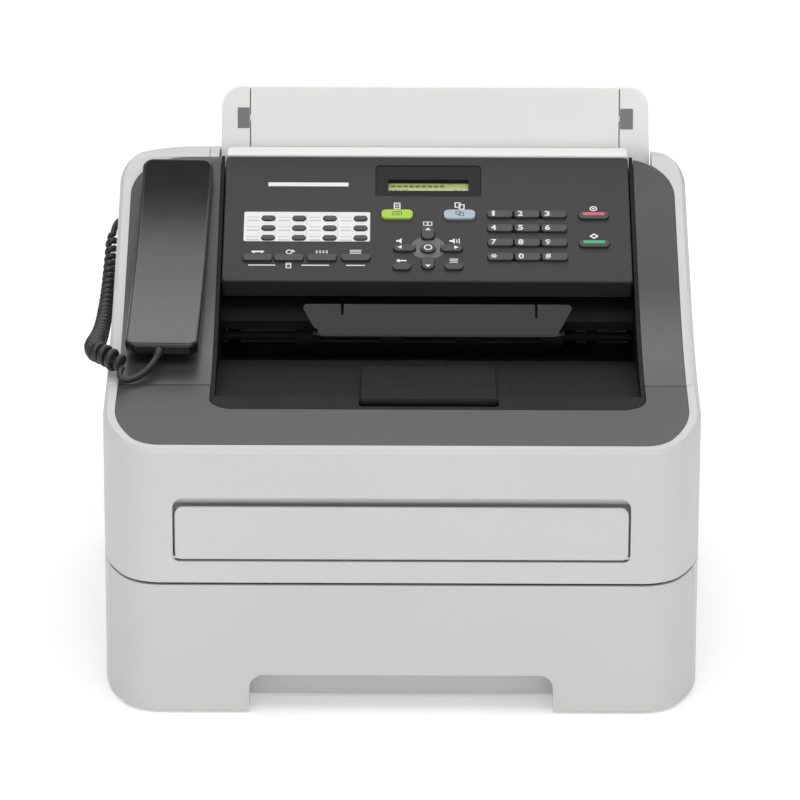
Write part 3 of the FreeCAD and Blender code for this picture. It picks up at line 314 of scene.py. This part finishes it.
def spline_points(name, pts, res=24):
    """Points read along the smooth spline that the route's points control."""
    c = bpy.data.curves.new(name, "CURVE")
    c.dimensions = "3D"
    sp = c.splines.new("NURBS")
    sp.points.add(len(pts) - 1)
    for q, p in zip(sp.points, pts):
        q.co = (p[0] * MM, p[1] * MM, p[2] * MM, 1.0)
    sp.order_u = 3
    sp.use_endpoint_u = True
    sp.resolution_u = res
    c.resolution_u = res
    o = bpy.data.objects.new(name, c)
    bpy.context.scene.collection.objects.link(o)
    bpy.context.view_layer.update()
    me = bpy.data.meshes.new_from_object(o)
    out = [v.co.copy() for v in me.vertices]
    bpy.data.objects.remove(o)
    bpy.data.curves.remove(c)
    bpy.data.meshes.remove(me)
    return out


def lengths(pts):
    out = [0.0]
    for p, q in zip(pts, pts[1:]):
        out.append(out[-1] + (q - p).length)
    return out


def at(pts, run, d):
    d = min(max(d, 0.0), run[-1])
    i = 0
    lo, hi = 0, len(run) - 1
    while hi - lo > 1:
        i = (lo + hi) // 2
        if run[i] <= d:
            lo = i
        else:
            hi = i
    t = (d - run[lo]) / max(run[hi] - run[lo], 1e-9)
    return pts[lo].lerp(pts[hi], t)


route = spline_points("cord_route", LEAD + COIL[1:] + TAIL[1:], 40)
run = lengths(route)
TOTAL = run[-1]
# where along the route the curls start and stop
near = lambda q: run[min(range(len(route)), key=lambda i: (route[i] - Vector(q) * MM).length)]
C0, C1 = near(LEAD[-1]) - 0.001, near(TAIL[1])
STEPS = 26
turns = round((C1 - C0) / PITCH)
line = []
d = 0.0
while d < C0:
    line.append((d, 0.0, 0.0))
    d += 0.0012
n_steps = int(turns * STEPS)
for i in range(n_steps + 1):
    u = i / n_steps
    line.append((C0 + (C1 - C0) * u, 2 * math.pi * turns * u,
                 coil_radius(u) * min(1.0, min(u, 1 - u) * turns / 0.8)))
d = C1 + 0.0012
while d < TOTAL:
    line.append((d, 0.0, 0.0))
    d += 0.0012
line.append((TOTAL, 0.0, 0.0))
path = []
tan0 = (at(route, run, 0.001) - at(route, run, 0.0)).normalized()
nrm = tan0.cross(Vector((0, 0, 1)))
nrm = nrm.normalized() if nrm.length > 1e-4 else Vector((1, 0, 0))
prev = tan0
for dd, ang, rad in line:
    t = (at(route, run, dd + 0.0008) - at(route, run, dd - 0.0008)).normalized()
    q = prev.rotation_difference(t)
    nrm = (q @ nrm)
    nrm = (nrm - t * nrm.dot(t)).normalized()
    prev = t
    bn = t.cross(nrm)
    path.append(at(route, run, dd) + (nrm * math.cos(ang) + bn * math.sin(ang)) * rad)
clean = [path[0]]
for p in path[1:]:
    if (p - clean[-1]).length > 0.0004:
        clean.append(p)
path = clean


def tube(name, pts, radius, sides=10):
    bm = bmesh.new()
    rings = []
    t_prev = (pts[1] - pts[0]).normalized()
    n = t_prev.orthogonal().normalized()
    for i, p in enumerate(pts):
        t = (pts[min(i + 1, len(pts) - 1)] - pts[max(i - 1, 0)]).normalized()
        n = t_prev.rotation_difference(t) @ n
        n = (n - t * n.dot(t)).normalized()
        t_prev = t
        b = t.cross(n)
        r = radius(i) if callable(radius) else radius
        rings.append([bm.verts.new(p + (n * math.cos(2 * math.pi * k / sides) + b * math.sin(2 * math.pi * k / sides)) * r) for k in range(sides)])
    for r0, r1 in zip(rings, rings[1:]):
        for k in range(sides):
            bm.faces.new((r0[k], r0[(k + 1) % sides], r1[(k + 1) % sides], r1[k]))
    bm.faces.new(list(reversed(rings[0])))
    bm.faces.new(rings[-1])
    for f in bm.faces:
        f.smooth = True
    me = bpy.data.meshes.new(name)
    bm.to_mesh(me)
    bm.free()
    return me


cord_mesh = tube("handset_cord", path, WIRE_D / 2, 10)
cord_mesh.materials.append(M["cord_dark"])
cord = bpy.data.objects.new("handset_cord", cord_mesh)
bpy.context.scene.collection.objects.link(cord)
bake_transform(cord)
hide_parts("handset_cord_coil", "handset_cord_leads")


def rounded_box(name, lo, hi, bevel, mat, body, seg=3):
    bm = bmesh.new()
    bmesh.ops.create_cube(bm, size=1.0)
    lo, hi = Vector(lo) * MM, Vector(hi) * MM
    for v in bm.verts:
        v.co = Vector((lo[i] + (v.co[i] + 0.5) * (hi[i] - lo[i]) for i in range(3)))
    bmesh.ops.bevel(bm, geom=list(bm.edges), offset=bevel * MM, segments=seg, profile=0.6, affect="EDGES")
    for f in bm.faces:
        f.smooth = True
    me = bpy.data.meshes.new(name)
    bm.to_mesh(me)
    bm.free()
    return new_obj(name, me, body, M[mat])


plug = rounded_box("handset_cord_plug", (-183.2, 129.0, 220.2), (-176.4, 140.0, 226.8), 0.6, "cord_dark", "chassis")
boot_pts = [Vector((-153.3 - 0.32 * i, -57.1 - 1.05 * i, 195.6 - 0.5 * i)) * MM for i in range(5)]
boot = tube("handset_cord_boot", boot_pts, lambda i: (3.2 - 0.16 * i) * MM if i % 2 == 0 else (2.8 - 0.12 * i) * MM, 16)
boot_obj = new_obj("handset_cord_boot", boot, "handset", M["cord_dark"])

# ------------------------------------------------------------ panel printing
def fill(bm, loops, place, lo, hi):
    """A thin flat area, printed or painted shade: an outline with holes, filled and given its thickness."""
    edges = []
    for loop in loops:
        vs = [bm.verts.new((q[0], q[1], lo)) for q in loop]
        edges += [bm.edges.new((vs[i], vs[(i + 1) % len(vs)])) for i in range(len(vs))]
    made = bmesh.ops.triangle_fill(bm, use_beauty=True, use_dissolve=False, edges=edges)
    faces = [f for f in made["geom"] if isinstance(f, bmesh.types.BMFace)]
    grown = bmesh.ops.extrude_face_region(bm, geom=faces)
    for v in [g for g in grown["geom"] if isinstance(g, bmesh.types.BMVert)]:
        v.co.z = hi


def decal(name, areas, lo, hi, body, mat, place=on_panel):
    bm = bmesh.new()
    for loops in areas:
        fill(bm, loops, place, lo, hi)
    for v in bm.verts:
        v.co = place(v.co.x, v.co.y, v.co.z)
    bmesh.ops.recalc_face_normals(bm, faces=list(bm.faces))
    me = bpy.data.meshes.new(name)
    bm.to_mesh(me)
    bm.free()
    return new_obj(name, me, body, M[mat])


def pill(cx, cb, w, h, r=None, seg=7):
    r = min(w, h) / 2 - 1e-4 if r is None else min(r, min(w, h) / 2 - 1e-4)
    out = []
    for sx, sy, a0 in ((1, 1, 0), (-1, 1, 90), (-1, -1, 180), (1, -1, 270)):
        for k in range(seg + 1):
            a = math.radians(a0 + 90 * k / seg)
            out.append((cx + sx * (w / 2 - r) + r * math.cos(a), cb + sy * (h / 2 - r) + r * math.sin(a)))
    return out


def disc(cx, cb, r, seg=28):
    return [(cx + r * math.cos(2 * math.pi * k / seg), cb + r * math.sin(2 * math.pi * k / seg)) for k in range(seg)]


def rect(x0, x1, b0, b1):
    return [(x0, b0), (x1, b0), (x1, b1), (x0, b1)]


def frame_of(x0, x1, b0, b1, t):
    return [rect(x0, x1, b0, b1), rect(x0 + t, x1 - t, b0 + t, b1 - t)]


def figures(name, text, cx, cb, high, wide, n, body, mat, bold=0.02):
    """Plain figures, centred on a point of the panel."""
    c = bpy.data.curves.new(name, "FONT")
    c.body = text
    c.size = 1.0
    c.offset = bold
    c.resolution_u = 6
    o = bpy.data.objects.new(name, c)
    bpy.context.scene.collection.objects.link(o)
    bpy.context.view_layer.update()
    flat = bpy.data.meshes.new_from_object(o)
    bpy.data.objects.remove(o)
    bpy.data.curves.remove(c)
    bm = bmesh.new()
    bm.from_mesh(flat)
    bpy.data.meshes.remove(flat)
    bmesh.ops.remove_doubles(bm, verts=list(bm.verts), dist=1e-5)
    xs = [v.co.x for v in bm.verts]
    ys = [v.co.y for v in bm.verts]
    x0, x1, y0, y1 = min(xs), max(xs), min(ys), max(ys)
    grown = bmesh.ops.extrude_face_region(bm, geom=list(bm.faces))
    top = {g for g in grown["geom"] if isinstance(g, bmesh.types.BMVert)}
    for v in bm.verts:
        fx = cx + ((v.co.x - x0) / (x1 - x0) - 0.5) * wide
        fb = cb + ((v.co.y - y0) / (y1 - y0) - 0.5) * high
        v.co = on_panel(fx, fb, n + (0.07 if v in top else -0.02))
    bmesh.ops.recalc_face_normals(bm, faces=list(bm.faces))
    me = bpy.data.meshes.new(name)
    bm.to_mesh(me)
    bm.free()
    return new_obj(name, me, body, M[mat])


CAP = 1.5
COLS = (63.6, 81.2, 98.8)
ROWS = (66.3, 52.1, 37.6, 23.4)
for i, (txt, key) in enumerate(zip("123456789*0#", ["1", "2", "3", "4", "5", "6", "7", "8", "9", "star", "0", "hash"])):
    cx, cb = COLS[i % 3], ROWS[i // 3]
    w = 1.9 if txt == "1" else 3.5
    h = 5.2 if txt not in "*" else 4.4
    if txt == "*":
        bars = []
        for turn in (0.0, 60.0, 120.0):
            c, q = math.cos(math.radians(turn)), math.sin(math.radians(turn))
            bars.append([[(cx - 4.3 + dx * c - dy * q, cb + 0.1 + dx * q + dy * c) for dx, dy in ((-2.2, -0.36), (2.2, -0.36), (2.2, 0.36), (-2.2, 0.36))]])
        decal("figure_star", bars, CAP - 0.02, CAP + 0.07, "dial_key_star", "print_white")
        continue
    figures("figure_" + key, txt, cx - 4.3, cb + 0.1, h, w, CAP, "dial_key_" + key, "print_white", 0.035)

# one-touch label: a white card with openings for its keys, faint cells and writing lines
OT_A = (-87.6, -67.5, -47.5, -27.4)
OT_B = (62.0, 52.2, 42.4)
card = [pill(0.5 * (-103.5 - 21.2), 0.5 * (39.1 + 68.7), 82.3, 29.6, 1.4)]
card += [pill(a, b, 9.4, 5.8) for a in OT_A for b in OT_B]
decal("one_touch_card", [card], 0.02, 0.16, "control_cover", "label_white")
lines = [[rect(a - 0.15, a + 0.15, 39.9, 67.9)] for a in (-82.9, -62.6, -42.3)]
for r, b in enumerate(OT_B):
    for c, a in enumerate(OT_A):
        left = (-102.6, -81.9, -61.6, -41.3)[c]
        lines.append([rect(left + 0.8, a - 5.9, b + 1.1, b + 1.7)])
        lines.append([rect(left + 0.8, a - 5.9, b - 2.6, b - 1.5)])
decal("one_touch_card_lines", lines, 0.15, 0.19, "control_cover", "label_grey")

# navigation disc behind the arrow keys


def cut_disc(cx, cb, r, right, top, left, low):
    """A disc's outline, cut square around four keys; each key is given as its end and its two sides, from the centre."""
    def arc(p, q, seg=8):
        a0, a1 = math.atan2(p[1], p[0]), math.atan2(q[1], q[0])
        if a1 < a0:
            a1 += 2 * math.pi
        return [(r * math.cos(a0 + (a1 - a0) * k / seg), r * math.sin(a0 + (a1 - a0) * k / seg)) for k in range(seg + 1)]

    def at_x(x, sign):
        return (x, sign * math.sqrt(r * r - x * x))

    def at_y(y, sign):
        return (sign * math.sqrt(r * r - y * y), y)

    pts = arc(at_y(right[2], 1), at_x(top[2], 1))
    pts += [(top[2], top[0]), (top[1], top[0])]
    pts += arc(at_x(top[1], 1), at_y(left[2], -1))
    pts += [(left[0], left[2]), (left[0], left[1])]
    pts += arc(at_y(left[1], -1), at_x(low[1], -1))
    pts += [(low[1], low[0]), (low[2], low[0])]
    pts += arc(at_x(low[2], -1), at_y(right[1], 1))
    pts += [(right[0], right[1]), (right[0], right[2])]
    return [(cx + x, cb + y) for x, y in pts]


decal("navigation_disc", [[cut_disc(16.6, 33.0, 11.4, (7.8, -4.7, 2.5), (7.4, -4.6, 4.4), (-7.9, -4.7, 2.5), (-9.8, -4.6, 4.4)),
                           pill(16.6, 31.9, 10.2, 9.8, 4.6)]], 0.02, 0.10, "control_cover", "disc_grey")

# plain marks on the panel
marks = [
    [rect(-88.4, -35.7, 95.1, 98.9)],                                        # plain stripe
    [rect(-100.0, -82.4, 14.9, 15.8)], [rect(-65.4, -47.6, 14.9, 15.8)],     # lines under the left keys
    [rect(-36.6, -24.2, 14.9, 15.8)],
    frame_of(-75.6, -72.0, 12.4, 17.6, 0.7), [rect(-74.9, -72.7, 15.6, 16.2)],
    # above the mode keys: one sheet, two sheets
    frame_of(-5.8, -1.4, 72.2, 78.6, 0.8), [rect(-4.6, -2.6, 75.9, 76.6)], [rect(-4.6, -2.6, 74.2, 74.9)],
    frame_of(34.0, 38.0, 73.8, 79.0, 0.8), frame_of(36.6, 40.6, 72.0, 77.2, 0.8),
    # above stop: ring with a dot; above start: diamond
    [disc(124.9, 73.2, 2.5), disc(124.9, 73.2, 1.6)], [disc(124.9, 73.2, 0.8)],
    [[(121.6, 45.4), (124.7, 48.2), (127.8, 45.4), (124.7, 42.6)], [(123.2, 45.4), (124.7, 46.8), (126.2, 45.4), (124.7, 44.0)]],
    # open book above the upper arrow, small and large sound marks beside the side arrows
    frame_of(13.4, 16.5, 55.4, 59.4, 0.6), frame_of(16.3, 19.4, 55.4, 59.4, 0.6),
    [[(-4.2, 39.2), (-2.6, 39.2), (-0.6, 37.2), (-0.6, 42.6), (-2.6, 40.8), (-4.2, 40.8)]],
    [[(30.4, 39.2), (32.0, 39.2), (34.0, 37.2), (34.0, 42.6), (32.0, 40.8), (30.4, 40.8)]],
    [rect(34.9, 35.6, 38.2, 41.6)], [rect(36.5, 37.2, 37.4, 42.4)],
    # clear: turned arrow; menu: three lines
    [[(-4.2, 20.2), (-2.0, 18.2), (-2.0, 19.6), (2.6, 19.6), (2.6, 20.8), (-2.0, 20.8), (-2.0, 22.2)]],
    [rect(30.6, 36.0, 21.6, 22.3)], [rect(30.6, 36.0, 20.0, 20.7)], [rect(30.6, 36.0, 18.4, 19.1)],
    # above the function keys: lifted receiver bar, ring arrow, dot grid, list
    [pill(-94.0, 28.9, 8.4, 1.5)], [rect(-97.4, -95.8, 27.4, 28.6)], [rect(-92.2, -90.6, 27.4, 28.6)],
    [disc(-73.6, 28.6, 2.2), disc(-73.6, 28.6, 1.4)], [[(-71.2, 31.0), (-69.6, 28.4), (-72.6, 28.8)]],
    [rect(-34.2, -26.8, 30.0, 30.7)], [rect(-34.2, -26.8, 28.5, 29.2)], [rect(-34.2, -26.8, 27.0, 27.7)],
]
marks += [[disc(-52.4 + 2.2 * dx, 28.7 + 1.6 * db, 0.62, 12)] for dx in (-1.5, -0.5, 0.5, 1.5) for db in (-0.5, 0.5)]
decal("panel_marks", marks, 0.0, 0.07, "control_cover", "print_white")

# marks on the key tops
arrows = [
    [[(14.6, 49.2), (18.4, 49.2), (16.5, 51.6)]],
    [[(14.6, 14.6), (16.5, 12.2), (18.4, 14.6)]],
    [[(33.6, 30.4), (36.4, 32.1), (33.6, 33.8)]],
    [[(-0.6, 30.4), (-0.6, 33.8), (-3.4, 32.1)]],
]
decal("arrow_marks", arrows, CAP - 0.02, CAP + 0.07, "arrow_keys", "print_white")
decal("ok_mark", [[disc(16.6, 31.9, 2.7), disc(16.6, 31.9, 1.9)]], CAP - 0.02, CAP + 0.07, "ok_key", "print_white")
decal("stop_bar", [[pill(124.9, 66.2, 14.2, 2.9, 0.8)]], CAP - 0.02, CAP + 0.10, "stop_key", "bar_red")
decal("start_bar", [[pill(124.7, 37.9, 14.2, 2.9, 0.8)]], CAP - 0.02, CAP + 0.10, "start_key", "bar_green")
decal("fax_mode_mark", [frame_of(-6.6, -0.6, 64.2, 68.0, 0.5), [rect(-5.4, -1.8, 65.8, 66.3)]], CAP - 0.02, CAP + 0.06, "fax_mode_key", "icon_dark")
decal("copy_mode_mark", [frame_of(34.6, 38.0, 65.0, 68.6, 0.5), frame_of(36.6, 40.0, 63.6, 67.2, 0.5)], CAP - 0.02, CAP + 0.06, "copy_mode_key", "icon_dark")

# display figures, under the bezel's window
for i, (txt, a) in enumerate((("12", -5.6), (":", -2.0), ("45", 1.6), ("01", 36.0))):
    figures("display_figure_%d" % i, txt, a, 95.2, 3.4 if txt != ":" else 2.2, 4.6 if txt != ":" else 0.7, -4.0, "control_cover", "lcd_ink", 0.0)
decal("display_row", [[rect(-7.6 + 4.0 * k, -4.6 + 4.0 * k, 99.0, 101.2)] for k in range(9)], -4.02, -3.93, "control_cover", "lcd_ink")

# grey hinge covers in the document support's ears
LEAN = math.radians(12.0)
S_AX = (279.3 - 247.0) / math.cos(LEAN)


def on_support(x, s, out):
    """A point of the document support's front face, in mm: across, up the lean and out of it."""
    return Vector((x, 163.5 + s * math.sin(LEAN) - out * math.cos(LEAN), 247.0 + s * math.cos(LEAN) + out * math.sin(LEAN))) * MM


decal("ear_cover_left", [[pill(-105.75, S_AX, 7.9, 13.6, 0.5)]], -0.43, -0.10, "chassis", "ear_grey", on_support)
decal("ear_cover_right", [[pill(148.45, S_AX, 8.5, 13.6, 0.5)]], -0.43, -0.10, "chassis", "ear_grey", on_support)

# painted shade: dark strips laid inside the two slots beside the document support's flap, standing for the shadow in
# those gaps
S_TOP = (300.0 - 247.0) / math.cos(LEAN)
for side, x in (("left", -101.2), ("right", 143.6)):
    # each strip is painted shadow sitting inside the open gap, not a part of the machine
    decal("support_slot_shade_" + side, [[rect(x - 0.24, x + 0.24, 8.6, S_AX - 1.9)], [rect(x - 0.24, x + 0.24, S_AX + 1.9, S_TOP - 1.6)]],
          -3.2, -0.5, "chassis", "icon_dark", on_support)


# seals behind the seams of the rear panel
def boxes(name, items, body, mat):
    verts, faces = [], []
    for x0, x1, y0, y1, z0, z1 in items:
        k = len(verts)
        verts += [Vector((x, y, z)) * MM for z in (z0, z1) for y in (y0, y1) for x in (x0, x1)]
        faces += [tuple(k + i for i in f) for f in ((0, 2, 3, 1), (4, 5, 7, 6), (0, 1, 5, 4), (2, 6, 7, 3), (0, 4, 6, 2), (1, 3, 7, 5))]
    me = bpy.data.meshes.new(name)
    me.from_pydata(verts, [], faces)
    return new_obj(name, me, body, M[mat])


boxes("rear_seam_seals", [(109.0, 117.0, 175.0, 176.0, 103.0, 184.0), (-117.0, -109.0, 175.0, 176.0, 103.0, 184.0),
                          (124.2, 131.4, 176.1, 176.9, 72.0, 186.0), (-131.4, -124.2, 176.1, 176.9, 72.0, 186.0),
                          (113.6, 117.0, 176.0, 177.1, 103.0, 184.0), (-117.0, -113.6, 176.0, 177.1, 103.0, 184.0)],
      "chassis", "well_black")

# -------------------------------------------------------------------- edges
SOFT_EDGE = {"output_well": 0.7, "output_flap": 0.7, "document_output_flap": 0.8, "control_panel": 0.6, "base_frame": 0.0, "circuit_boards": 0.0, "lcd_display": 0.0, "left_side_cover": 0.0, "right_side_cover": 0.0, "adf_lower_frame": 0.0}
for name, o in N.items():
    if o.hide_render:
        continue
    w = o.modifiers.new("join", "WELD")
    w.merge_threshold = 2e-6
    width = SOFT_EDGE.get(name, 0.4)
    if width > 0:
        d = o.modifiers.new("flat", "DECIMATE")
        d.decimate_type = "DISSOLVE"
        d.angle_limit = math.radians(0.4)
    if "_key" in name:
        width = 0.15
    if width > 0:
        b = o.modifiers.new("edge", "BEVEL")
        b.width = width * MM
        b.segments = 2
        b.limit_method = "ANGLE"
        b.angle_limit = math.radians(38)
        b.use_clamp_overlap = True
        b.harden_normals = False
        b.miter_outer = "MITER_ARC"
    n = o.modifiers.new("shade", "WEIGHTED_NORMAL")
    n.mode = "FACE_AREA"
    n.weight = 80
    n.keep_sharp = True

bpy.context.scene.view_settings.view_transform = "Standard"
